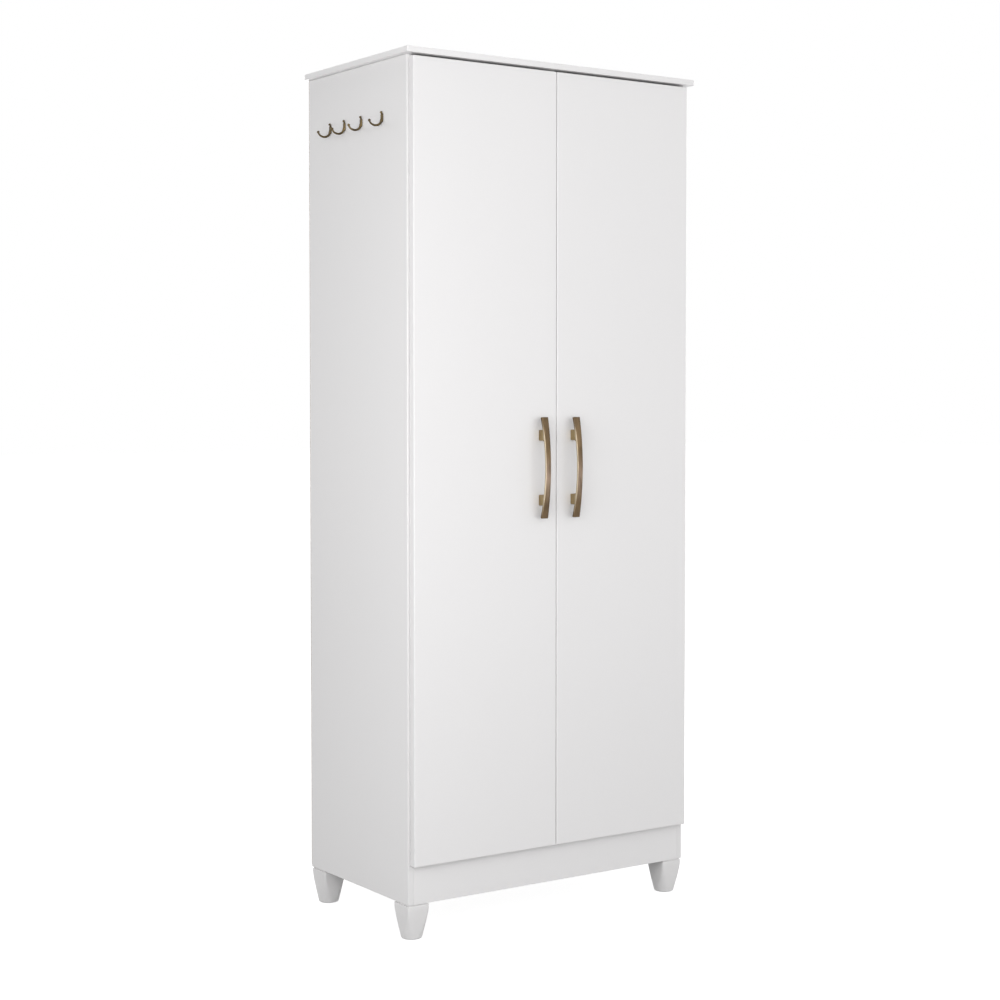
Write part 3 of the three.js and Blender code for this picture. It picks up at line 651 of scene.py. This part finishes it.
def hookParts(wall, level, y):
    # Tube along the half ellipse x = -half cos, z = drop sin: each ring lies across the tangent.
    half = hook["armSpan"] / 2
    share = np.linspace(0, 1, hookGrid["arm"])
    angle = np.radians(180 + hookSweep * share)
    x = -hook["rootRadius"] - half - half * np.cos(angle)
    z = hook["armDrop"] * np.sin(angle)
    radius = hook["rootRadius"] + (hook["tipRadius"] - hook["rootRadius"]) * share
    lead = np.linspace(1, 0, hookGrid["root"], endpoint=False)
    x = np.concatenate([-hook["rootRadius"] + (hook["rootRadius"] - hook["rootTop"]) * lead, x])
    z = np.concatenate([hook["rootRise"] * lead, z])
    radius = np.concatenate([hook["rootRadius"] + (hook["rootTop"] - hook["rootRadius"]) * lead, radius])
    tangentX, tangentZ = np.gradient(x), np.gradient(z)
    long = np.hypot(tangentX, tangentZ)
    turn = np.linspace(0, 2 * math.pi, hookGrid["round"], endpoint=False)
    across = radius[:, None] * np.cos(turn)
    arm = np.stack([
        x[:, None] - (tangentZ / long)[:, None] * across,
        radius[:, None] * np.sin(turn),
        z[:, None] + (tangentX / long)[:, None] * across,
    ], -1)
    halfWidth = hook["plateWidth"] / 2
    turnUp = np.linspace(0, math.pi / 2, hookGrid["rim"])
    inset = np.concatenate([[0], halfWidth * hookGrid["rimShare"] * (1 - np.cos(turnUp))])
    dome = hook["plateThick"] - hook["plateRim"]
    depth = np.concatenate([[0], hook["plateRim"] + dome * np.sin(turnUp)])
    rings = roundedRings(halfWidth - inset, hook["plateHeight"] / 2 - inset, halfWidth - inset,
                         hookGrid["plateCorner"])
    plate = np.empty(rings.shape[:2] + (3,))
    plate[..., 0] = -depth[:, None]
    plate[..., 1] = rings[..., 0]
    plate[..., 2] = rings[..., 1] + hook["plateHeight"] / 2 - halfWidth

    def ball(size, atX, atZ):
        sweep = np.linspace(hookGrid["ballPole"], math.pi - hookGrid["ballPole"], hookGrid["ballRings"])
        profile = np.stack([size * np.sin(sweep), -size * np.cos(sweep)], -1)
        return turned(profile, 2, (atX, 0, atZ), hookGrid["ballRound"])

    finialZ = hook["plateHeight"] - halfWidth + hook["finialRadius"] - hook["finialSink"]
    parts = [shell(arm), shell(plate), ball(hook["ballRadius"], x[-1], z[-1]),
             ball(hook["finialRadius"], -hook["finialRadius"], finialZ)]
    return [(points + (wall, y, level), faces) for points, faces in parts]


def makeHooks():
    for number in (1, 2, 3, 4):
        node = f"side_hook_{number}"
        high = cornersOf(node)[1]
        finialTop = (hook["plateHeight"] - hook["plateWidth"] / 2 + 2 * hook["finialRadius"]
                     - hook["finialSink"])
        made = objectOf(f"{node}_cast", hookParts(high[0], high[2] - finialTop, middleOf(node)[1]))
        cast = made.modifiers.new("cast", "REMESH")
        cast.mode = "VOXEL"
        cast.voxel_size = hook["grain"]
        soften = made.modifiers.new("soften", "SMOOTH")
        soften.factor = hookGrid["soften"]
        soften.iterations = hookGrid["softenTimes"]
        settled(made)
        finished(made, hookBrass, "carcass", [node], smoothUnder=80)


makeHooks()
print("hooks made")


# Feet: a collar just inside the corner of the body, a taper that turns round towards a soft sole, a hollow
# from above, and an angle that stands up inside the plinth
foot = metres({"height": 70, "width": 48, "depth": 53.5, "corner": 3.5, "collar": 9, "neck": 2.4,
               "neckIn": 2.6, "rim": 0.5, "bottomRadius": 21, "sole": 4, "wall": 15.5, "hollowFloor": 8,
               "hollowBottom": 7, "upstandIn": 11.6, "upstandHeight": 28, "upstandThick": 3,
               "upstandMargin": 4, "upstandCorner": 3, "upstandEdge": 0.6})
footTaper = 1.25  # power of the taper: it starts gently under the collar
footGrid = {"hollow": 7, "rim": 5, "sole": 8, "taper": 28, "corner": 10, "upstand": 4}  # rings, arc steps
footScrew = metres({"headRadius": 3.4, "headHeight": 1.9, "shank": 1.7, "length": 9, "slot": 0.55,
                    "recess": 1.0})
footScrewPlaces = (0.45, 0.78)  # shares of the way along each leaf of the angle


def makeFoot(node):
    # Rings from the floor of the hollow up to its mouth, over the top and down the neck, out over the rim,
    # down the collar, then down the taper, whose share of the way from collar to sole is (depth below the
    # collar) to a power, and round under the sole.
    low, high = cornersOf(node)
    wayX = 1 if low[0] < 0 else -1
    wayY = 1 if low[1] < (cadBounds[0][1] + cadBounds[1][1]) / 2 else -1
    halfX, halfY, bottom = foot["width"] / 2, foot["depth"] / 2, foot["bottomRadius"]
    hollow = np.linspace(0, 1, footGrid["hollow"])
    rimIn, rimUp = arcInset(foot["rim"], footGrid["rim"])
    soleIn, soleUp = arcInset(foot["sole"], footGrid["sole"])
    down = np.linspace(0, 1, footGrid["taper"])
    share = down ** footTaper

    def stacked(inner, mouth, top, bottomSize):
        # The stretches of a ring's size: hollow, neck, rim, collar with taper, and sole.
        neck = top - np.full(2, foot["neckIn"])
        return np.concatenate([inner + (mouth - inner) * hollow, neck, top - rimIn,
                               top + (bottomSize - top) * share, bottomSize - soleIn[::-1][1:]])

    sizeX = stacked(foot["hollowBottom"], halfX - foot["wall"], halfX, bottom)
    sizeY = stacked(foot["hollowBottom"], halfY - foot["wall"], halfY, bottom)
    corner = stacked(foot["hollowBottom"], foot["corner"], foot["corner"], bottom)
    collarLow = foot["height"] - foot["collar"]
    rimTop = foot["height"] - foot["neck"]
    height = np.concatenate([foot["hollowFloor"] + (foot["height"] - foot["hollowFloor"]) * hollow,
                             [foot["height"], rimTop], rimTop - rimUp,
                             collarLow + (foot["sole"] - collarLow) * down, soleUp[::-1][1:]])
    rings = roundedRings(sizeX, sizeY, np.minimum(corner, np.minimum(sizeX, sizeY)), footGrid["corner"])
    outerX = low[0] if wayX > 0 else high[0]
    outerY = low[1] if wayY > 0 else high[1]
    points = np.empty(rings.shape[:2] + (3,))
    points[..., 0] = outerX + wayX * (halfX + rings[..., 0])
    points[..., 1] = outerY + wayY * (halfY + rings[..., 1])
    points[..., 2] = height[:, None]
    near = foot["upstandIn"]
    thick = near + foot["upstandThick"]
    rise = (foot["height"] - foot["upstandThick"], foot["height"] + foot["upstandHeight"])

    def leaf(x, y, through):
        # One leaf of the angle, from its places across and along the foot.
        ends = np.array([[outerX + wayX * x[0], outerY + wayY * y[0], rise[0]],
                         [outerX + wayX * x[1], outerY + wayY * y[1], rise[1]]])
        return boardShape(ends.min(0), ends.max(0), through, foot["upstandEdge"], foot["upstandEdge"],
                          foot["upstandCorner"], footGrid["upstand"])

    made = objectOf(f"{node}_shape", [shell(points)])
    farX, farY = foot["width"] - foot["upstandMargin"], foot["depth"] - foot["upstandMargin"]
    carved(made, "UNION", [[leaf((near, farX), (near, thick), 1)], [leaf((near, thick), (near, farY), 0)]])
    finished(made, plastic, "carcass", [node], smoothUnder=50)

    screws = []
    level = foot["height"] + foot["upstandHeight"] / 2
    for place in footScrewPlaces:
        alongX = (outerX + wayX * farX * place, outerY + wayY * thick, level)
        alongY = (outerX + wayX * thick, outerY + wayY * farY * place, level)
        screws += [screwShape(alongX, 1, wayY, footScrew), screwShape(alongY, 0, wayX, footScrew)]
    finished(objectOf(f"{node}_screws", screws), steel, "carcass", smoothUnder=30)


for node in [name for name in frame["nodes"] if name.startswith("foot_")]:
    makeFoot(node)
print("feet made")


# Concealed hinges: the frame's solids with softened edges, and their screws
hingeSize = metres({"sheetEdge": 0.25, "holeSpacing": 32, "earSpacing": 48, "wingThick": 2,
                    "holeFromFront": 17, "slotFromFront": 30, "adjusterFromFront": 11, "adjusterSunk": 1.2})
# The body that each part of a hinge rides on
hingeParts = {"plate": "carcass", "arm": "carcass", "link": "{side}_links", "cup": "{side}_door"}
hingeScrew = metres({"headRadius": 3.7, "headHeight": 1.8, "shank": 1.9, "length": 9, "slot": 0.6,
                     "recess": 1.0})
adjuster = metres({"headRadius": 2.8, "headHeight": 1.2, "shank": 1.6, "length": 5, "slot": 0.5,
                   "recess": 0.8})


def makeHinges(side):
    way = 1 if side == "left" else -1  # from the side panel towards the middle of the cupboard
    for number in (1, 2, 3):
        for part, body in hingeParts.items():
            node = f"{side}_hinge_{part}_{number}"
            made = objectOf(f"{node}_shape", [copyOf(node)])
            bevelled(made, hingeSize["sheetEdge"])
            finished(made, steel, body.format(side=side), [node], smoothUnder=35)
        plateLow, plateHigh = cornersOf(f"{side}_hinge_plate_{number}")
        armLow, armHigh = cornersOf(f"{side}_hinge_arm_{number}")
        wing = (plateLow[0] if way > 0 else plateHigh[0]) + way * hingeSize["wingThick"]
        web = armHigh[0] if way > 0 else armLow[0]
        middle = (armLow[2] + armHigh[2]) / 2
        places = [(wing, plateLow[1] + hingeSize["holeFromFront"],
                   middle + end * hingeSize["holeSpacing"] / 2) for end in (-1, 1)]
        places.append((web, plateLow[1] + hingeSize["slotFromFront"], middle))
        screws = [screwShape(place, 0, way, hingeScrew) for place in places]
        sunk = (web - way * hingeSize["adjusterSunk"], plateLow[1] + hingeSize["adjusterFromFront"], middle)
        screws.append(screwShape(sunk, 0, way, adjuster))
        finished(objectOf(f"{side}_hinge_{number}_plate_screws", screws), steel, "carcass", smoothUnder=30)
        x, y, z = rearMiddleOf(f"{side}_hinge_cup_{number}")
        screws = [screwShape((x, y, z + end * hingeSize["earSpacing"] / 2), 1, 1, hingeScrew)
                  for end in (-1, 1)]
        finished(objectOf(f"{side}_hinge_{number}_cup_screws", screws), steel, f"{side}_door",
                 smoothUnder=30)


for side in ("left", "right"):
    makeHinges(side)
print("hinges made")


# Shelf pins and back nails
pin = metres({"radius": 2.4, "collar": 3.6, "collarThick": 1, "reach": 8, "round": 0.6, "fromFront": 45,
              "fromBack": 40, "sunk": 0.4})
nail = metres({"head": 2.2, "height": 0.5, "margin": 6, "spacing": 150})
nailHead = {"foot": 0.98, "rim": 0.6, "top": 0.8}  # shares: radius below, height of the rim, radius on top


def makePins(node):
    # Four pegs under a shelf, each a turned profile with a collar against the board that it is pushed into.
    low, high = cornersOf(node)
    pegs = []
    for y in (low[1] + pin["fromFront"], high[1] - pin["fromBack"]):
        for x, way in ((low[0], 1), (high[0], -1)):
            profile = [(pin["radius"], -pin["sunk"]), (pin["collar"], 0),
                       (pin["collar"], pin["collarThick"]), (pin["radius"], pin["collarThick"]),
                       (pin["radius"], pin["reach"] - pin["round"]),
                       (pin["radius"] - pin["round"], pin["reach"])]
            profile = [(radius, way * along) for radius, along in profile]
            pegs.append(turned(profile, 0, (x, y, low[2] - pin["collar"])))
    finished(objectOf(f"{node}_pins", pegs), steel, "carcass")


def makeNails(node):
    # Flat heads at even steps along both upright edges and both ends of a back panel.
    low, high = cornersOf(node)
    profile = [(nail["head"] * nailHead["foot"], -nail["height"]),
               (nail["head"], nail["height"] * nailHead["rim"]),
               (nail["head"] * nailHead["top"], nail["height"])]
    nails = []
    for axis, other in ((2, 0), (0, 2)):
        start, end = low[axis] + nail["margin"], high[axis] - nail["margin"]
        steps = np.linspace(start, end, round((end - start) / nail["spacing"]) + 1)
        if axis == 0:
            steps = steps[1:-1]  # the corners have their nails already
        for edge in (low[other] + nail["margin"], high[other] - nail["margin"]):
            for step in steps:
                place = np.array([0, high[1], 0])
                place[axis], place[other] = step, edge
                nails.append(turned(profile, 1, place, sides=12))
    finished(objectOf(f"{node}_nails", nails), steel, "carcass")


for node in shelves:
    makePins(node)
for node in ("back_panel_left", "back_panel_right"):
    makeNails(node)
print("small fasteners made")


# Stage: a white floor and a soft studio
stage = {"floorSize": 60.0, "floorGlow": 0.93, "floorColour": (0.34, 0.34, 0.34),
         "floorCatch": (0.3, 0.3, 0.3), "worldLight": 0.33, "white": (1, 1, 1, 1)}


def whiteRays(flow):
    # 1 for rays that should meet plain white: those of the camera, of gloss and of glass.
    camera = flow.node("ShaderNodeLightPath", out="Is Camera Ray")
    glossy = flow.node("ShaderNodeLightPath", out="Is Glossy Ray")
    through = flow.node("ShaderNodeLightPath", out="Is Transmission Ray")
    return camera.maths("MAXIMUM", camera.maths("MAXIMUM", camera, glossy), through)


def makeFloor():
    # Plain grey for the light that it throws on the cupboard. The rays of whiteRays() meet a white glow on a
    # little grey, which still takes the shadow.
    half = stage["floorSize"] / 2
    corners = [(-half, -half, 0), (half, -half, 0), (half, half, 0), (-half, half, 0)]
    mesh = bpy.data.meshes.new("floor")
    mesh.from_pydata(corners, [], [(0, 1, 2, 3)])
    floor = bpy.data.objects.new("floor", mesh)
    bpy.context.scene.collection.objects.link(floor)
    material, place = newMaterial("floorWhite")
    seen = whiteRays(place)
    plain = place.node("ShaderNodeBsdfDiffuse", None, {"Color": (*stage["floorColour"], 1)})
    catch = place.node("ShaderNodeBsdfDiffuse", None, {"Color": (*stage["floorCatch"], 1)})
    glow = place.node("ShaderNodeEmission", None, {"Strength": stage["floorGlow"]})
    shown = place.node("ShaderNodeAddShader", None, {0: catch, 1: glow})
    both = place.node("ShaderNodeMixShader", None, {0: seen, 1: plain, 2: shown})
    place.node("ShaderNodeOutputMaterial", None, {"Surface": both})
    mesh.materials.append(material)


def makeWorld():
    world = bpy.data.worlds.new("studio")
    bpy.context.scene.world = world
    world.use_nodes = True
    tree = world.node_tree
    tree.nodes.clear()
    seen = whiteRays(Flow(tree, None))
    plain = stage["white"]
    light = seen.node("ShaderNodeBackground", None, {"Color": plain, "Strength": stage["worldLight"]})
    white = seen.node("ShaderNodeBackground", None, {"Color": plain, "Strength": 1.0})
    both = seen.node("ShaderNodeMixShader", None, {0: seen, 1: light, 2: white})
    seen.node("ShaderNodeOutputWorld", None, {"Surface": both})


# Square lamps, in metres and watts
lamps = {
    "key": {"at": (-1.75, -0.9, 1.15), "aim": (-0.35, 0, 1.15), "size": 1.5, "power": 19},
    "frontLeft": {"at": (-0.85, -3.3, 0.8), "aim": (0, 0, 0.7), "size": 3.6, "power": 54},
    "frontRight": {"at": (2.2, -2.5, 1.9), "aim": (0, 0, 1.1), "size": 4.0, "power": 36},
    "right": {"at": (3.0, 0.9, 1.3), "aim": (0.3, 0, 0.85), "size": 2.2, "power": 32},
    "rear": {"at": (0.2, 3.0, 1.4), "aim": (0.1, 0, 0.85), "size": 2.0, "power": 34},
    "top": {"at": (0, 0.2, 4.2), "aim": (0, 0, 0), "size": 3.0, "power": 34},
}


def aimed(thing, at, target):
    # Turns a camera or lamp at one place so that it looks at another.
    way = np.array(target) - np.array(at)
    flat = math.hypot(way[0], way[1])
    thing.location = at
    thing.rotation_euler = (math.pi / 2 + math.atan2(way[2], flat), 0, -math.atan2(way[0], way[1]))


def makeLamps():
    for name, lamp in lamps.items():
        light = bpy.data.lights.new(name, "AREA")
        light.shape = "SQUARE"
        light.size = lamp["size"]
        light.energy = lamp["power"]
        made = bpy.data.objects.new(name, light)
        bpy.context.scene.collection.objects.link(made)
        aimed(made, lamp["at"], lamp["aim"])


# The camera's place in metres, its turn and tilt in degrees and its lens in millimetres
view = {"at": (-2.2287, -3.2430, 1.0409), "turn": 34.506, "tilt": -2.077, "focal": 68.65, "shiftY": -0.033}


def makeCamera():
    camera = bpy.data.cameras.new("camera")
    camera.lens = view["focal"]
    camera.shift_y = view["shiftY"]
    made = bpy.data.objects.new("camera", camera)
    bpy.context.scene.collection.objects.link(made)
    made.location = view["at"]
    made.rotation_euler = (math.radians(90 + view["tilt"]), 0, math.radians(-view["turn"]))
    bpy.context.scene.camera = made


makeFloor()
makeWorld()
makeLamps()
makeCamera()
bpy.context.scene.view_settings.view_transform = "Standard"
print("stage made")
